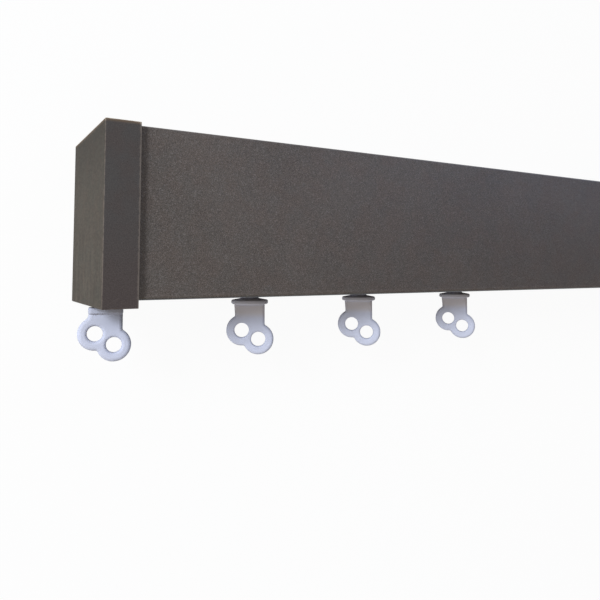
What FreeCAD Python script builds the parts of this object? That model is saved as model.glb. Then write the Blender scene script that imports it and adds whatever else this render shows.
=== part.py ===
import FreeCAD, Part
import os
from FreeCAD import Vector

os.makedirs("parts", exist_ok=True)

# Curtain track lying on its back: X runs along the rail, +Y is the ceiling side, +Z is the front.

# rail section
railLength = 1000.0
railDepth = 37.8
railHeight = 45.0
railWall = 1.6
railCorner = 0.5
railLowCorner = 1.0
innerCorner = 0.8
ribWall = 1.4
slotWidth = 5.8
slotLipRound = 0.4
channelWidth = 10.8
channelHeight = 6.0
grooveMouth = 12.0
grooveWidth = 18.0
grooveHeight = 5.2

# end cap, slipped over the rail
capFit = 0.08
capSideWall = 1.8
capTopWall = 0.46
capFloor = 1.81
capEndWall = 1.6
capLength = 9.05
capEdge = 0.3

# running glider, measured down from the underside of the rail
slotClear = 0.3
liftClear = 0.25
headRadius = 4.7
headThick = 1.8
headChamfer = 0.6
flangeRadius = 5.75
flangeTop = 1.75
flangeSlope = 0.6
flangeRim = 1.1
flangeUnder = 0.35
flangeUnderRun = 1.0
flangeRound = 0.45
neckBlend = 0.7
stemBury = 0.8

# eyelet plate of a glider
gliderThick = 2.1
gliderStem = 9.45
gliderStemLean = 0.3
gliderRing = 4.8
gliderHole = 2.26
gliderUpperX = -2.44
gliderLowerX = 2.74
gliderUpperRing = 11.17
gliderRingStep = 2.8
gliderUpperBlend = 0.6
gliderLowerBlend = 0.6
gliderNotchBlend = 0.9
gliderEdgeRound = 1.0
gliderHoleRound = 0.5

# end eyelet, its stud snapped into the cap floor
studRadius = 2.2
studClear = 0.2
studHeadRadius = 2.65
studHeadThick = 1.2
studTip = 1.4
studTipRadius = 1.9
collarWidth = 9.25
collarDepth = 4.2
collarCorner = 1.0
collarDrop = 0.75
collarThick = 1.65
collarRound = 0.3

# eyelet plate of an end eyelet
endThick = 2.3
endStem = 9.1
endRing = 4.63
endHole = 2.1
endUpperX = -2.78
endLowerX = 2.28
endUpperRing = 7.95
endRingStep = 3.15
endUpperBlend = 1.8
endLowerBlend = 0.6
endNotchBlend = 0.9
endEdgeRound = 1.1
endHoleRound = 0.85

# places along the track, from the outer face of the nearer cap
endEyeletPlace = 5.6
gliderPlaces = [49.6, 91.7, 137.6]
endEyeletTurn = 12.3
gliderTurns = [25.5, 35.9, 44.8]

capOverFront = capSideWall + capFit
capOverTop = capTopWall + capFit
capUnder = capFloor + capFit
outerEnd = railLength / 2.0 + capEndWall
slotZ = capOverFront + railDepth / 2.0
trackTop = railHeight + capOverTop
trackLow = -(gliderUpperRing + gliderRingStep + gliderRing)
liftY = -(trackTop + trackLow) / 2.0
neckRadius = slotWidth / 2.0 - slotClear

gliderPlate = {
    "thick": gliderThick,
    "stem": gliderStem,
    "lean": gliderStemLean,
    "ring": gliderRing,
    "hole": gliderHole,
    "upperX": gliderUpperX,
    "lowerX": gliderLowerX,
    "step": gliderRingStep,
    "upperBlend": gliderUpperBlend,
    "lowerBlend": gliderLowerBlend,
    "notchBlend": gliderNotchBlend,
    "edgeRound": gliderEdgeRound,
    "holeRound": gliderHoleRound,
}

endPlate = {
    "thick": endThick,
    "stem": endStem,
    "lean": 0.0,
    "ring": endRing,
    "hole": endHole,
    "upperX": endUpperX,
    "lowerX": endLowerX,
    "step": endRingStep,
    "upperBlend": endUpperBlend,
    "lowerBlend": endLowerBlend,
    "notchBlend": endNotchBlend,
    "edgeRound": endEdgeRound,
    "holeRound": endHoleRound,
}


def sectionRect(yLow, yHigh, width, zMid, x):
    """Rectangle across the track, centred on depth zMid."""
    zLow = zMid - width / 2.0
    zHigh = zMid + width / 2.0
    corners = [
        Vector(x, yLow, zLow),
        Vector(x, yHigh, zLow),
        Vector(x, yHigh, zHigh),
        Vector(x, yLow, zHigh),
    ]
    return Part.Face(Part.makePolygon(corners + corners[:1]))


def edgesAlongX(shape, places, tol=1e-4):
    """Straight edges along the track whose (y, z) is one of the given places."""
    found = []
    for edge in shape.Edges:
        a = edge.Vertexes[0].Point
        b = edge.Vertexes[-1].Point
        if abs(a.y - b.y) > tol or abs(a.z - b.z) > tol or abs(a.x - b.x) < 1.0:
            continue
        if any(abs(a.y - y) < tol and abs(a.z - z) < tol for y, z in places):
            found.append(edge)
    return found


def makeRail():
    """One hollow extrusion: lipped glider channel below, clip groove above."""
    x = -railLength / 2.0
    grooveFloor = railHeight - railWall - grooveHeight
    channelRoof = railWall + channelHeight
    outer = sectionRect(0.0, railHeight, railDepth, slotZ, x)
    chamber = sectionRect(railWall, railHeight - railWall, railDepth - 2.0 * railWall, slotZ, x)
    channelBox = sectionRect(0.0, channelRoof + ribWall, channelWidth + 2.0 * ribWall, slotZ, x)
    grooveBox = sectionRect(grooveFloor - ribWall, railHeight, grooveWidth + 2.0 * ribWall, slotZ, x)
    chamber = chamber.cut(channelBox).cut(grooveBox)
    section = outer.cut(chamber)
    section = section.cut(sectionRect(railWall, channelRoof, channelWidth, slotZ, x))
    section = section.cut(sectionRect(-1.0, railWall + 0.1, slotWidth, slotZ, x))
    section = section.cut(sectionRect(grooveFloor, railHeight - railWall, grooveWidth, slotZ, x))
    section = section.cut(sectionRect(railHeight - railWall - 0.1, railHeight + 1.0, grooveMouth, slotZ, x))
    body = section.Faces[0].extrude(Vector(railLength, 0, 0))
    zBack = slotZ - railDepth / 2.0
    zFront = slotZ + railDepth / 2.0
    body = body.makeFillet(railCorner, edgesAlongX(body, [(railHeight, zBack), (railHeight, zFront)]))
    body = body.makeFillet(railLowCorner, edgesAlongX(body, [(0.0, zBack), (0.0, zFront)]))
    inside = [
        (y, z)
        for y in (railWall, railHeight - railWall)
        for z in (zBack + railWall, zFront - railWall)
    ]
    body = body.makeFillet(innerCorner, edgesAlongX(body, inside))
    lips = [(0.0, slotZ - slotWidth / 2.0), (0.0, slotZ + slotWidth / 2.0)]
    lips += [(railHeight, slotZ - grooveMouth / 2.0), (railHeight, slotZ + grooveMouth / 2.0)]
    return body.makeFillet(slotLipRound, edgesAlongX(body, lips))


def makeCap():
    """Open box with a sharp rim that slips over the rail, holed in its floor for the eyelet stud."""
    xEnd = -outerEnd
    depth = railDepth + 2.0 * capOverFront
    height = railHeight + capOverTop + capUnder
    shell = Part.makeBox(capLength, height, depth, Vector(xEnd, -capUnder, 0.0))
    xRim = xEnd + capLength
    softEdges = [e for e in shell.Edges if any(abs(v.Point.x - xRim) > 1e-4 for v in e.Vertexes)]
    shell = shell.makeFillet(capEdge, softEdges)
    bore = sectionRect(-capFit, railHeight + capFit, railDepth + 2.0 * capFit, slotZ, xEnd + capEndWall)
    pocket = bore.extrude(Vector(capLength, 0, 0))
    corners = [
        (y, z)
        for y in (-capFit, railHeight + capFit)
        for z in (slotZ - railDepth / 2.0 - capFit, slotZ + railDepth / 2.0 + capFit)
    ]
    pocket = pocket.makeFillet(railCorner, edgesAlongX(pocket, corners))
    shell = shell.cut(pocket)
    axis = Vector(xEnd + endEyeletPlace, -capUnder - 1.0, slotZ)
    return shell.cut(Part.makeCylinder(studRadius + studClear, capFloor + 1.5, axis, Vector(0, 1, 0)))


def revolveProfile(points):
    """Turn a half profile of (radius, height) points about the vertical Y axis."""
    rim = [Vector(r, y, 0.0) for r, y in points]
    face = Part.Face(Part.makePolygon(rim + rim[:1]))
    return face.revolve(Vector(0, 0, 0), Vector(0, 1, 0), 360.0)


def circleEdges(shape, radius, height, tol=1e-4):
    """Full circles about the Y axis with this radius and height."""
    found = []
    for edge in shape.Edges:
        curve = edge.Curve
        if not isinstance(curve, Part.Circle):
            continue
        level = abs(curve.Center.y - height) < tol
        if level and abs(curve.Radius - radius) < tol and abs(curve.Axis.y) > 0.99:
            found.append(edge)
    return found


def makePlate(size, stemTop, upperRing):
    """Stem that runs into two joined rings, with rounded edges."""
    thick = size["thick"]
    ring = size["ring"]
    hole = size["hole"]
    rings = [
        Vector(size["upperX"], -upperRing, 0.0),
        Vector(size["lowerX"], -upperRing - size["step"], 0.0),
    ]
    half = size["stem"] / 2.0
    leftTop = -half - size["lean"] / 2.0
    leftLow = -half + size["lean"] / 2.0
    stem = [
        Vector(leftTop, -stemTop, 0.0),
        Vector(leftLow, rings[0].y + ring, 0.0),
        Vector(leftLow, rings[0].y, 0.0),
        Vector(half, rings[1].y, 0.0),
        Vector(half, -stemTop, 0.0),
    ]
    back = Vector(0, 0, -thick / 2.0)
    plate = Part.Face(Part.makePolygon(stem + stem[:1])).extrude(Vector(0, 0, thick))
    plate.translate(back)
    plate = plate.fuse([Part.makeCylinder(ring, thick, c + back) for c in rings])
    plate = plate.removeSplitter()

    # inner corners: stem to upper ring, stem to lower ring, ring to ring
    upperMeet = rings[0].y + (ring ** 2 - (leftLow - rings[0].x) ** 2) ** 0.5
    lowerMeet = rings[1].y + (ring ** 2 - (half - rings[1].x) ** 2) ** 0.5
    between = rings[1] - rings[0]
    middle = (rings[0] + rings[1]) * 0.5
    drop = (ring ** 2 - (between.Length / 2.0) ** 2) ** 0.5
    side = Vector(between.y, -between.x, 0.0).normalize()
    notch = middle + side * drop
    blends = [
        (Vector(leftLow, upperMeet, 0.0), size["upperBlend"]),
        (Vector(half, lowerMeet, 0.0), size["lowerBlend"]),
        (notch, size["notchBlend"]),
    ]
    for place, radius in blends:
        near = [
            edge for edge in plate.Edges
            if all((Vector(v.Point.x, v.Point.y, 0.0) - place).Length < 1e-3 for v in edge.Vertexes)
        ]
        plate = plate.makeFillet(radius, near)
    for centre in rings:
        low = centre + Vector(0, 0, -thick)
        plate = plate.cut(Part.makeCylinder(hole, 2.0 * thick, low))
    holeEdges = [
        edge for edge in plate.Edges
        if isinstance(edge.Curve, Part.Circle) and abs(edge.Curve.Radius - hole) < 1e-6
    ]
    holeRound = min(size["holeRound"], 0.96 * (between.Length / 2.0 - hole), 0.48 * thick)
    plate = plate.makeFillet(holeRound, holeEdges)
    rimEdges = []
    for edge in plate.Edges:
        ends = [v.Point for v in edge.Vertexes]
        onFace = all(abs(abs(p.z) - thick / 2.0) < 1e-5 for p in ends)
        onTop = all(abs(p.y + stemTop) < 1e-5 for p in ends)
        middlePoint = edge.valueAt((edge.FirstParameter + edge.LastParameter) / 2.0)
        inHole = min(
            Vector(middlePoint.x - c.x, middlePoint.y - c.y, 0.0).Length for c in rings
        ) < hole + holeRound + 0.01
        if onFace and not onTop and not inHole:
            rimEdges.append(edge)
    edgeRound = min(size["edgeRound"], 0.48 * thick)
    return plate.makeFillet(edgeRound, rimEdges)


def makeGlider():
    """Round head, neck, sloping flange and eyelet plate in one moulding."""
    headLow = railWall + liftClear
    headTop = headLow + headThick
    coneTop = -flangeTop + flangeSlope
    rimLow = -flangeTop - flangeRim
    flangeLow = rimLow - flangeUnder
    body = revolveProfile([
        (0.0, headTop),
        (headRadius - headChamfer, headTop),
        (headRadius, headTop - headChamfer),
        (headRadius, headLow),
        (neckRadius, headLow),
        (neckRadius, coneTop),
        (flangeRadius, -flangeTop),
        (flangeRadius, rimLow),
        (flangeRadius - flangeUnderRun, flangeLow),
        (0.0, flangeLow),
    ])
    body = body.makeFillet(neckBlend, circleEdges(body, neckRadius, coneTop))
    rims = circleEdges(body, flangeRadius, -flangeTop) + circleEdges(body, flangeRadius, rimLow)
    body = body.makeFillet(flangeRound, rims)
    plate = makePlate(gliderPlate, -flangeLow - stemBury, gliderUpperRing)
    return body.fuse(plate).removeSplitter()


def makeEndEyelet():
    """Snap stud, flat-sided collar and eyelet plate in one moulding."""
    headLow = -capFit + studClear
    headTop = headLow + studHeadThick
    collarTop = -capUnder - collarDrop
    collarLow = collarTop - collarThick
    stud = revolveProfile([
        (0.0, headTop + studTip),
        (studTipRadius, headTop + studTip),
        (studHeadRadius, headTop),
        (studHeadRadius, headLow),
        (studRadius, headLow),
        (studRadius, collarTop - stemBury),
        (0.0, collarTop - stemBury),
    ])
    low = Vector(-collarWidth / 2.0, collarLow, -collarDepth / 2.0)
    collar = Part.makeBox(collarWidth, collarThick, collarDepth, low)
    upright = [e for e in collar.Edges if abs(e.Vertexes[0].Point.y - e.Vertexes[-1].Point.y) > 1e-4]
    collar = collar.makeFillet(collarCorner, upright)
    rims = [e for e in collar.Edges if abs(e.Vertexes[0].Point.y - e.Vertexes[-1].Point.y) < 1e-4]
    collar = collar.makeFillet(collarRound, rims)
    plate = makePlate(endPlate, -collarLow - stemBury, capUnder + endUpperRing)
    return stud.fuse([collar, plate]).removeSplitter()


def placed(shape, x, turn):
    """Hang a moulding in the slot at x, turned about its neck."""
    out = shape.copy()
    out.rotate(Vector(0, 0, 0), Vector(0, 1, 0), turn)
    out.translate(Vector(x, 0, slotZ))
    return out


def save(name, shape):
    """Write one solid, centred over the floor."""
    out = shape.copy()
    out.translate(Vector(0, liftY, 0))
    solid = out.Solids[0]
    print(name, "solids", len(out.Solids), "valid", solid.isValid(), "volume", round(solid.Volume, 1))
    solid.exportStep("parts/" + name + ".step")


save("rail", makeRail())
cap = makeCap()
save("left_end_cap", cap)
save("right_end_cap", cap.mirror(Vector(0, 0, 0), Vector(1, 0, 0)))

eyelet = makeEndEyelet()
eyeletX = outerEnd - endEyeletPlace
save("left_end_eyelet", placed(eyelet, -eyeletX, -endEyeletTurn))
save("right_end_eyelet", placed(eyelet, eyeletX, 180.0 + endEyeletTurn))

glider = makeGlider()
for index, place in enumerate(gliderPlaces):
    save("glider_%d" % (index + 1), placed(glider, place - outerEnd, -gliderTurns[index]))
    save("glider_%d" % (6 - index), placed(glider, outerEnd - place, 180.0 + gliderTurns[index]))

print("lift", liftY, "slot z", slotZ, "outer end", outerEnd, "track top", trackTop + liftY)
print("slot axis of end eyelet", eyeletX, "lowest", trackLow + liftY)
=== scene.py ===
import math

import bpy
from mathutils import Matrix, Vector


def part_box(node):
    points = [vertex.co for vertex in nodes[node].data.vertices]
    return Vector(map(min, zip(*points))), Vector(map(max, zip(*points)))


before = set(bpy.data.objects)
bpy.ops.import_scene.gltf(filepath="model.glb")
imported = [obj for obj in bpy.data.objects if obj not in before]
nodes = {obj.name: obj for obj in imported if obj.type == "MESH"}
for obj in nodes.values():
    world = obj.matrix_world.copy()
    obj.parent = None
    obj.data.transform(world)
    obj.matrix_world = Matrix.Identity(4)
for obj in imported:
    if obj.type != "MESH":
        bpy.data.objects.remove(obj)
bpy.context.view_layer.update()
print("track loaded:", len(nodes), "solids")

scene = bpy.context.scene
scene.view_settings.view_transform = "Standard"
railLow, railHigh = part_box("rail")
capLow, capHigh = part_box("right_end_cap")  # the left cap is its mirror image


class Wire:
    # a shader socket that takes part in plain arithmetic
    def __init__(self, tree, socket=None):
        self.tree = tree
        self.socket = socket

    def node(self, kind, settings=None, inputs=None, out=0):
        made = self.tree.nodes.new(kind)
        for key, value in (settings or {}).items():
            setattr(made, key, value)
        for key, value in (inputs or {}).items():
            self.feed(made.inputs[key], value)
        return Wire(self.tree, made.outputs[out])

    def feed(self, socket, value):
        # a link for a wire, or else the socket's own value
        if isinstance(value, Wire):
            self.tree.links.new(value.socket, socket)
        elif socket.type == "RGBA":
            socket.default_value = (*value, 1.0)
        else:
            socket.default_value = value

    def maths(self, operation, first, second=0.0):
        return self.node("ShaderNodeMath", {"operation": operation}, {0: first, 1: second})

    def __add__(self, other):
        return self.maths("ADD", self, other)

    def __radd__(self, other):
        return self.maths("ADD", other, self)

    def __sub__(self, other):
        return self.maths("SUBTRACT", self, other)

    def __rsub__(self, other):
        return self.maths("SUBTRACT", other, self)

    def __mul__(self, other):
        return self.maths("MULTIPLY", self, other)

    def __rmul__(self, other):
        return self.maths("MULTIPLY", other, self)

    def __truediv__(self, other):
        return self.maths("DIVIDE", self, other)

    def __rtruediv__(self, other):
        return self.maths("DIVIDE", other, self)

    def __abs__(self):
        return self.maths("ABSOLUTE", self)

    def lower(self, other):
        return self.maths("MINIMUM", self, other)

    def higher(self, other):
        return self.maths("MAXIMUM", self, other)

    def ramp(self, start, end, low=0.0, high=1.0):
        settings = {"interpolation_type": "SMOOTHSTEP"}
        inputs = {"Value": self, "From Min": start, "From Max": end, "To Min": low, "To Max": high}
        return self.node("ShaderNodeMapRange", settings, inputs)

    def tint(self, first, second):
        # this wire is the share of the second colour
        return self.node("ShaderNodeMix", {"data_type": "RGBA"}, {0: self, 6: first, 7: second}, out=2)

    def shaded(self, colour):
        # a colour made lighter or darker by this wire
        return self.node("ShaderNodeVectorMath", {"operation": "SCALE"}, {0: colour, "Scale": self})

    def times(self, colour):
        # two colours multiplied channel by channel
        return self.node("ShaderNodeVectorMath", {"operation": "MULTIPLY"}, {0: self, 1: colour})

    def parts(self):
        split = self.node("ShaderNodeSeparateXYZ", None, {0: self}).socket.node
        return [Wire(self.tree, socket) for socket in split.outputs]

    def stretched(self, scale, shift=(0.0, 0.0, 0.0)):
        return self.node("ShaderNodeMapping", None, {"Vector": self, "Scale": scale, "Location": shift})

    def noise(self, scale, detail, roughness):
        inputs = {"Vector": self, "Scale": scale, "Detail": detail, "Roughness": roughness}
        return self.node("ShaderNodeTexNoise", None, inputs)

    def cells(self, scale):
        # one number from 0 to 1 for each cell
        inputs = {"Vector": self, "Scale": scale}
        return self.node("ShaderNodeTexVoronoi", None, inputs, out="Color").parts()[0]

    def bump(self, strength, distance):
        inputs = {"Height": self, "Strength": strength, "Distance": distance}
        return self.node("ShaderNodeBump", None, inputs)


def newFinish(name):
    # an empty material: its Principled shader's sockets and a first wire on Object coordinates
    material = bpy.data.materials.new(name)
    material.use_nodes = True
    tree = material.node_tree
    sockets = tree.nodes["Principled BSDF"].inputs
    place = Wire(tree).node("ShaderNodeTexCoord", out="Object")
    return material, sockets, place


def dress(name, material):
    node = nodes[name]
    node.data.materials.clear()
    node.data.materials.append(material)


# a noise is written as its size per metre, its detail and its roughness,
# and a range as where a ramp starts and ends, in metres where it is a distance
railFinish = {
    "dark": (0.0490, 0.0406, 0.0350),
    "light": (0.1780, 0.1505, 0.1328),
    "grain": (5200.0, 2.0, 0.6),
    "grainShare": 1.6,
    "grainDepth": 0.00005,
    "drift": (26.0, 2.0, 0.5),
    "driftShare": 0.25,
    "toneShift": -0.42,
    "fleck": (0.58, 0.53, 0.51),
    "fleckPerMetre": 4500.0,
    "fleckRange": (0.844, 0.916),  # few cells are light enough to be flecks
    "fleckGlint": 0.11,
    "patch": (170.0, 2.0, 0.5),
    "patchRange": (0.35, 0.65),
    "redder": (1.02, 0.99, 0.985),
    "greyer": (0.985, 1.005, 1.02),
    # painted shade and painted highlight along the rail's lower front edge
    "paintedShadeHeight": (0.0, 0.0006),  # above the underside
    "paintedShadeDepth": (0.0005, 0.0012),  # behind the front
    "paintedShadeStrength": 0.95,
    "paintedHighlightStart": (0.0003, 0.0007),
    "paintedHighlightEnd": (0.0010, 0.0018),
    "paintedHighlightStrength": 0.13,
    "metallic": 0.2,
    "sheen": (0.85, 0.93, 1.0),
    "specular": 0.5,
    "roughness": (0.2, 0.8, 0.29, 0.41),  # over this range of the grain, from and to
}


def coatRail():
    f = railFinish
    material, sockets, place = newFinish("texturedCoat")
    grain = place.noise(*f["grain"])
    drift = place.noise(*f["drift"])
    tone = (grain * f["grainShare"] + drift * f["driftShare"] + f["toneShift"]).ramp(0.0, 1.0)
    # light flecks: the coat's flakes, partly their own paler colour and partly a painted glint
    fleck = place.cells(f["fleckPerMetre"]).ramp(*f["fleckRange"])
    colour = (fleck * f["fleckGlint"]).tint(tone.tint(f["dark"], f["light"]), f["fleck"])
    colour = colour.times(place.noise(*f["patch"]).ramp(*f["patchRange"]).tint(f["redder"], f["greyer"]))
    # painted shade along the front's lower edge, where its rounding turns away from the light, with a
    # painted highlight just above it
    y, z = place.parts()[1:]
    height = y - railLow.y
    depth = railHigh.z - z
    paintedEdgeShade = (1 - height.ramp(*f["paintedShadeHeight"])) * (1 - depth.ramp(*f["paintedShadeDepth"]))
    paintedHighlight = height.ramp(*f["paintedHighlightStart"]) * (1 - height.ramp(*f["paintedHighlightEnd"]))
    colour = ((1 - paintedEdgeShade * f["paintedShadeStrength"]) * (1 + paintedHighlight * f["paintedHighlightStrength"])).shaded(colour)
    place.feed(sockets["Base Color"], colour)
    place.feed(sockets["Roughness"], grain.ramp(*f["roughness"]))
    place.feed(sockets["Normal"], grain.bump(1.0, f["grainDepth"]))
    place.feed(sockets["Metallic"], f["metallic"])
    place.feed(sockets["Specular Tint"], f["sheen"])
    place.feed(sockets["Specular IOR Level"], f["specular"])
    return material


capFinish = {
    "body": (0.0760, 0.0650, 0.0610),
    "pale": (0.0742, 0.0688, 0.0660),
    "lowBody": (0.0752, 0.0612, 0.0570),
    "lowerRange": (0.0, 0.65),  # shares of the cap's height
    "mottle": (160.0, 3.0, 0.55),
    "mottleRange": (0.35, 0.65),
    "grain": (4600.0, 2.0, 0.6),
    "grainShare": 1.3,
    "endBody": (0.0692, 0.0563, 0.0437),
    "endGreen": (0.0648, 0.0568, 0.0446),
    "endDepth": (0.00004, 0.0002),
    "endTopRange": (0.55, 1.0),  # shares of the cap's height
    "endTopShade": 0.33,
    "endMottle": 0.12,
    "greenStretch": (1.0, 260.0, 420.0),
    "greenShift": (0.0, 3.0, 7.0),
    "green": (1.0, 3.0, 0.6),
    "greenRange": (0.4, 0.6),
    "smearStretch": (1.0, 70.0, 260.0),
    "smear": (1.0, 4.0, 0.6),
    "smearShare": 1.7,
    "smearAbove": 0.2,
    "fineStretch": (1.0, 1500.0, 620.0),
    "fine": (1.0, 2.0, 0.6),
    "fineShare": 0.9,
    "rubStretch": (1.0, 70.0, 900.0),
    "rub": (1.0, 2.0, 0.5),
    "rubRange": (0.55, 0.75),
    "rubWear": 0.2,
    # edge colours: wear and painted highlight along the cap's edges, rim and top
    "edge": (0.20, 0.168, 0.145),
    "edgeWidth": 0.00035,
    "edgeWear": 0.75,
    "ragged": (900.0, 2.0, 0.5),
    "raggedWidth": (0.3, 0.7, 0.55, 1.15),  # over this range of the noise, from and to
    "rimRange": (0.0002, 0.0006),
    "rimWearAndHighlight": 0.5,
    "topHighlightAndWear": (0.19, 0.128, 0.080),
    "topHighlightLine": (0.60, 0.52, 0.42),
    "topWidth": 0.0011,
    "topHighlightAndWearShare": 0.7,
    "scratchStart": (0.0019, 0.0015),  # in from the cap's end, up from its underside
    "scratchEnd": (0.0046, 0.0030),
    "scratchWidth": 0.00013,
    "scratchFadeIn": 0.0004,
    "scratchFadeOut": 0.7,  # share of its length
    "scratchWear": 0.14,
    "skin": (2600.0, 2.0, 0.5),
    "skinBump": (0.3, 0.00002),
    "roughness": 0.62,
    "mottleRoughness": 0.06,
    "rubRoughness": 0.1,
    "specular": 0.1,
}


def scratchOn(x, y):
    # one light scratch low on the left cap's front
    f = capFinish
    startX, startY = f["scratchStart"]
    endX, endY = f["scratchEnd"]
    length = math.hypot(endX - startX, endY - startY)
    runX = (endX - startX) / length
    runY = (endY - startY) / length
    fromX = x + (capHigh.x - startX)
    fromY = y - (capLow.y + startY)
    along = fromX * runX + fromY * runY
    across = abs(fromY * runX - fromX * runY)
    fadeIn = along.ramp(0.0, f["scratchFadeIn"])
    fadeOut = 1 - along.ramp(length * f["scratchFadeOut"], length)
    return (1 - across.ramp(0.0, f["scratchWidth"])) * fadeIn * fadeOut


def smoothCap():
    f = capFinish
    material, sockets, place = newFinish("satinCap")
    x, y, z = place.parts()
    rise = (y - capLow.y) / (capHigh.y - capLow.y)
    lowerPart = 1 - rise.ramp(*f["lowerRange"])
    mottle = place.noise(*f["mottle"])
    front = mottle.ramp(*f["mottleRange"]).tint(f["body"], f["pale"])
    front = lowerPart.tint(front, f["lowBody"])
    # hands have smeared the end face, most of all low down
    toEnd = capHigh.x - abs(x)
    endFace = 1 - toEnd.ramp(*f["endDepth"])
    smear = place.stretched(f["smearStretch"]).noise(*f["smear"]) - 0.5
    smear = smear * (lowerPart * (1 - f["smearAbove"]) + f["smearAbove"])
    fine = place.stretched(f["fineStretch"]).noise(*f["fine"]) - 0.5
    endTone = 1 - rise.ramp(*f["endTopRange"]) * f["endTopShade"]
    endTone = endTone * (1 + smear * f["smearShare"] + fine * f["fineShare"])
    endTone = endTone * (1 + (mottle - 0.5) * f["endMottle"])
    greener = place.stretched(f["greenStretch"], f["greenShift"]).noise(*f["green"]).ramp(*f["greenRange"])
    colour = endFace.tint(front, endTone.shaded(greener.tint(f["endBody"], f["endGreen"])))
    colour = (1 + (place.noise(*f["grain"]) - 0.5) * f["grainShare"]).shaded(colour)
    rub = place.stretched(f["rubStretch"]).noise(*f["rub"]).ramp(*f["rubRange"]) * endFace * lowerPart
    colour = (rub * f["rubWear"]).tint(colour, f["edge"])
    # where two faces are near, the edge between them is lighter, partly worn and partly a painted
    # highlight, browner along the top
    toRim = abs(x) - capLow.x
    nearX = toEnd.lower(toRim)
    nearY = (y - capLow.y).lower(capHigh.y - y)
    nearZ = (z - capLow.z).lower(capHigh.z - z)
    second = nearX.higher(nearY).lower(nearX.higher(nearZ)).lower(nearY.higher(nearZ))
    ragged = place.noise(*f["ragged"]).ramp(*f["raggedWidth"])
    edge = 1 - (second / ragged).ramp(0.0, f["edgeWidth"])
    # the rim's pale line is wear and a painted highlight
    rim = 1 - (toRim / ragged).ramp(*f["rimRange"])
    toTop = (capHigh.y - y).higher(toEnd.lower(capHigh.z - z))
    topHighlightAndWear = 1 - toTop.ramp(0.0, f["topWidth"])
    colour = (topHighlightAndWear * f["topHighlightAndWearShare"]).tint(colour, f["topHighlightAndWear"])
    wornAndHighlit = (edge * f["edgeWear"]).higher(rim * f["rimWearAndHighlight"])
    colour = wornAndHighlit.tint(colour, topHighlightAndWear.tint(f["edge"], f["topHighlightLine"]))
    colour = (scratchOn(x, y) * f["scratchWear"]).tint(colour, f["edge"])
    place.feed(sockets["Base Color"], colour)
    roughness = f["roughness"] + mottle * f["mottleRoughness"] + rub * f["rubRoughness"]
    place.feed(sockets["Roughness"], roughness)
    place.feed(sockets["Normal"], place.noise(*f["skin"]).bump(*f["skinBump"]))
    place.feed(sockets["Specular IOR Level"], f["specular"])
    return material


eyeletFinish = {
    "body": (0.615, 0.645, 0.785),
    "shade": (0.585, 0.612, 0.742),
    "cloud": (420.0, 3.0, 0.55),
    "cloudRange": (0.3, 0.7),
    # painted warm light from the rail on the stems
    "paintedWarmLight": (0.675, 0.655, 0.700),
    "paintedWarmDrop": (0.0053, 0.0079),  # drops are measured down from the rail's underside
    "paintedWarmCloud": 0.3,
    "flangeDrop": (0.0033, 0.0039),
    "flangePaintedWarmCut": 0.55,
    # painted shadow of the cap on the end eyelet
    "paintedShadowDrop": (0.0056, 0.0101),
    "paintedShadowCloud": 0.4,
    "collarDrop": (0.0043, 0.0049),
    "collarPaintedShadow": 0.55,
    "capShadowReach": (0.0031, 0.0081),  # in from the cap's end
    "openPaintedShadow": 0.25,
    "endEyelet": (0.08, 0.31),  # shares of the painted warm light and of the painted cap shadow
    "glider": (1.0, 0.0),
    "skin": (2600.0, 2.0, 0.5),
    "skinBump": (0.08, 0.00002),
    "roughness": 0.5,
    "cloudRoughness": 0.1,
    "specular": 0.2,
}


def whiteMoulding(name, paintedWarmShare, paintedShadowShare):
    f = eyeletFinish
    material, sockets, place = newFinish(name)
    x, y = place.parts()[:2]
    drop = railLow.y - y
    cloud = place.noise(*f["cloud"])
    colour = cloud.ramp(*f["cloudRange"]).tint(f["shade"], f["body"])
    # painted warm light: the stem is tinted warmer up by the rail, where the rail shades it and bounces
    # brown light onto it, its flange less so
    flange = 1 - drop.ramp(*f["flangeDrop"])
    paintedWarmLight = (1 - drop.ramp(*f["paintedWarmDrop"])) * (1 - flange * f["flangePaintedWarmCut"])
    paintedWarmLight = paintedWarmLight * (1 + (cloud - 0.5) * f["paintedWarmCloud"])
    colour = (paintedWarmLight * paintedWarmShare).tint(colour, f["paintedWarmLight"])
    # painted shadow of the cap darkens the eyelet that stands still, most of all just under its cap and
    # further in from the cap's end
    collar = 1 - drop.ramp(*f["collarDrop"])
    inCapShadow = (capHigh.x - abs(x)).ramp(*f["capShadowReach"]) * (1 - f["openPaintedShadow"]) + f["openPaintedShadow"]
    paintedCapShadow = (1 - drop.ramp(*f["paintedShadowDrop"])) * (1 - collar) * inCapShadow
    paintedCapShadow = paintedCapShadow.higher(collar * f["collarPaintedShadow"]) * (1 + (cloud - 0.5) * f["paintedShadowCloud"])
    colour = (1 - paintedCapShadow * paintedShadowShare).shaded(colour)
    place.feed(sockets["Base Color"], colour)
    place.feed(sockets["Roughness"], f["roughness"] + cloud * f["cloudRoughness"])
    place.feed(sockets["Normal"], place.noise(*f["skin"]).bump(*f["skinBump"]))
    place.feed(sockets["Specular IOR Level"], f["specular"])
    return material


dress("rail", coatRail())
capMaterial = smoothCap()
for name in ("left_end_cap", "right_end_cap"):
    dress(name, capMaterial)
endMoulding = whiteMoulding("endEyeletMoulding", *eyeletFinish["endEyelet"])
for name in ("left_end_eyelet", "right_end_eyelet"):
    dress(name, endMoulding)
gliderMoulding = whiteMoulding("gliderMoulding", *eyeletFinish["glider"])
for number in range(1, 7):
    dress("glider_%d" % number, gliderMoulding)
print("finishes set")


def shownRays(wire):
    # 1 for what is seen straight, in a gloss or through glass
    rays = wire.node("ShaderNodeLightPath").socket.node.outputs
    straight = Wire(wire.tree, rays["Is Camera Ray"])
    gloss = Wire(wire.tree, rays["Is Glossy Ray"])
    through = Wire(wire.tree, rays["Is Transmission Ray"])
    return straight.higher(gloss).higher(through)


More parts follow.
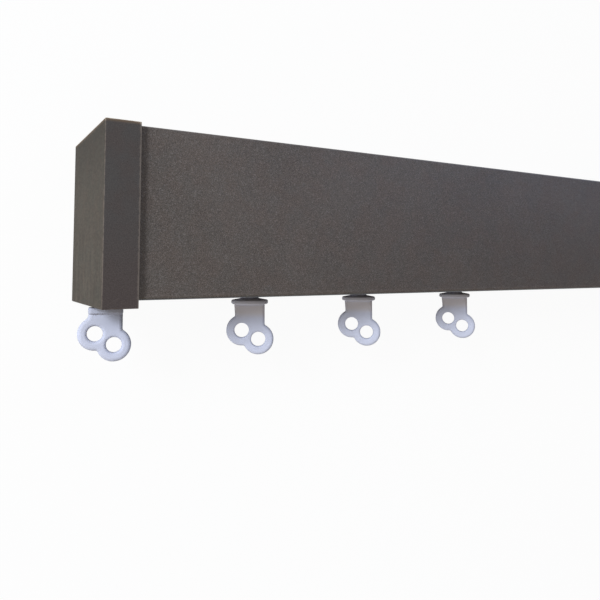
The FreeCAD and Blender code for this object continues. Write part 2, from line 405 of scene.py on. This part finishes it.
floorSet = {
    "size": 12.0,
    "colour": (0.8, 0.8, 0.8),
    "white": (1.0, 1.0, 1.0),
    "whiteStrength": 1.0,
    "whiteShare": 0.95,  # the rest shows the shadow
}


def layFloor():
    s = floorSet
    bpy.ops.mesh.primitive_plane_add(size=s["size"], location=(0, 0, 0))
    floor = bpy.context.object
    floor.name = "floor"
    material = bpy.data.materials.new("paleFloor")
    material.use_nodes = True
    tree = material.node_tree
    tree.nodes.remove(tree.nodes["Principled BSDF"])
    wire = Wire(tree)
    share = shownRays(wire) * s["whiteShare"]
    matt = wire.node("ShaderNodeBsdfDiffuse", None, {"Color": s["colour"]})
    white = wire.node("ShaderNodeEmission", None, {"Color": s["white"], "Strength": s["whiteStrength"]})
    both = wire.node("ShaderNodeMixShader", None, {0: share, 1: matt, 2: white})
    wire.feed(tree.nodes["Material Output"].inputs["Surface"], both)
    floor.data.materials.append(material)


# the sky's ranges are parts of a direction of length 1
skySet = {
    "colour": (1.0, 0.93, 0.83),
    "strength": 0.475,
    "rightRange": (0.3, 0.7),  # along the rail
    "rightLow": (0.04, 0.04, 0.05),
    "rightHigh": (1.30, 1.76, 2.85),
    "highRange": (0.08, 0.26),  # towards the ceiling side
    "white": (1.0, 1.0, 1.0),
    "whiteStrength": 1.0,
    "whiteRange": (0.115, 0.135),  # up from the horizon
}


def lightSky():
    s = skySet
    world = bpy.data.worlds.new("studioSky")
    scene.world = world
    world.use_nodes = True
    tree = world.node_tree
    tree.nodes.remove(tree.nodes["Background"])
    wire = Wire(tree)
    x, y, z = wire.node("ShaderNodeTexCoord", out="Object").parts()
    right = y.ramp(*s["highRange"]).tint(s["rightLow"], s["rightHigh"])
    colour = x.ramp(*s["rightRange"]).tint(s["colour"], right)
    soft = wire.node("ShaderNodeBackground", None, {"Color": colour, "Strength": s["strength"]})
    white = wire.node("ShaderNodeBackground", None, {"Color": s["white"], "Strength": s["whiteStrength"]})
    share = shownRays(wire) * (1 - z.ramp(*s["whiteRange"]))
    both = wire.node("ShaderNodeMixShader", None, {0: share, 1: soft, 2: white})
    wire.feed(tree.nodes["World Output"].inputs["Surface"], both)


keyLamp = {
    "power": 5.7,
    "colour": (0.86, 0.92, 1.0),
    "target": (-0.495, 0.0, 0.03),
    "side": (-1.22, 0.57, 1.0),  # from the target to the lamp
    "away": 0.8,
    "along": 0.22,
    "across": 0.32,
    "inGloss": True,
}

fillLamp = {
    "power": 2.6,
    "colour": (0.95, 0.97, 1.0),
    "target": (0.495, 0.0, 0.02),
    "side": (1.0, 0.12, 0.16),
    "away": 0.7,
    "along": 0.2,
    "across": 0.2,
    "inGloss": False,
}


def hangLamp(name, s):
    lamp = bpy.data.lights.new(name, "AREA")
    lamp.shape = "ELLIPSE"
    lamp.size = s["along"]
    lamp.size_y = s["across"]
    lamp.energy = s["power"]
    lamp.color = s["colour"]
    holder = bpy.data.objects.new(name, lamp)
    scene.collection.objects.link(holder)
    holder.visible_glossy = s["inGloss"]
    side = Vector(s["side"]).normalized()
    along = (Vector((1.0, 0.0, 0.0)) - side * side.x).normalized()
    turn = Matrix((along, side.cross(along), side)).transposed().to_4x4()
    holder.matrix_world = Matrix.Translation(Vector(s["target"]) + side * s["away"]) @ turn


layFloor()
lightSky()
hangLamp("keyLamp", keyLamp)
hangLamp("fillLamp", fillLamp)
print("floor and lamps set")

shot = {
    "place": (-0.532924, -0.004620, 0.190704),
    "aim": (0.5023, 0.0, -0.8647),
    "nod": -0.058283,
    "sway": 0.002261,
    "roll": -0.001954,
    "focalPixels": 592.598,
    "centreRow": 231.823,
    "pixels": 600.0,
    "sensor": 36.0,
    "near": 0.01,
    "far": 60.0,
}


def setCamera():
    s = shot
    forward = Vector(s["aim"]).normalized()
    up = Vector((0.0, 1.0, 0.0))
    axes = Matrix((forward.cross(up), up, -forward))
    for angle, axis in ((s["nod"], "X"), (s["sway"], "Y"), (s["roll"], "Z")):
        axes = Matrix.Rotation(angle, 3, axis) @ axes
    lens = bpy.data.cameras.new("photoCamera")
    camera = bpy.data.objects.new("photoCamera", lens)
    scene.collection.objects.link(camera)
    camera.matrix_world = Matrix.Translation(s["place"]) @ axes.transposed().to_4x4()
    lens.sensor_width = s["sensor"]
    lens.lens = s["sensor"] * s["focalPixels"] / s["pixels"]
    lens.shift_y = (s["centreRow"] - s["pixels"] / 2) / s["pixels"]
    lens.clip_start = s["near"]
    lens.clip_end = s["far"]
    scene.camera = camera


setCamera()
print("camera set")
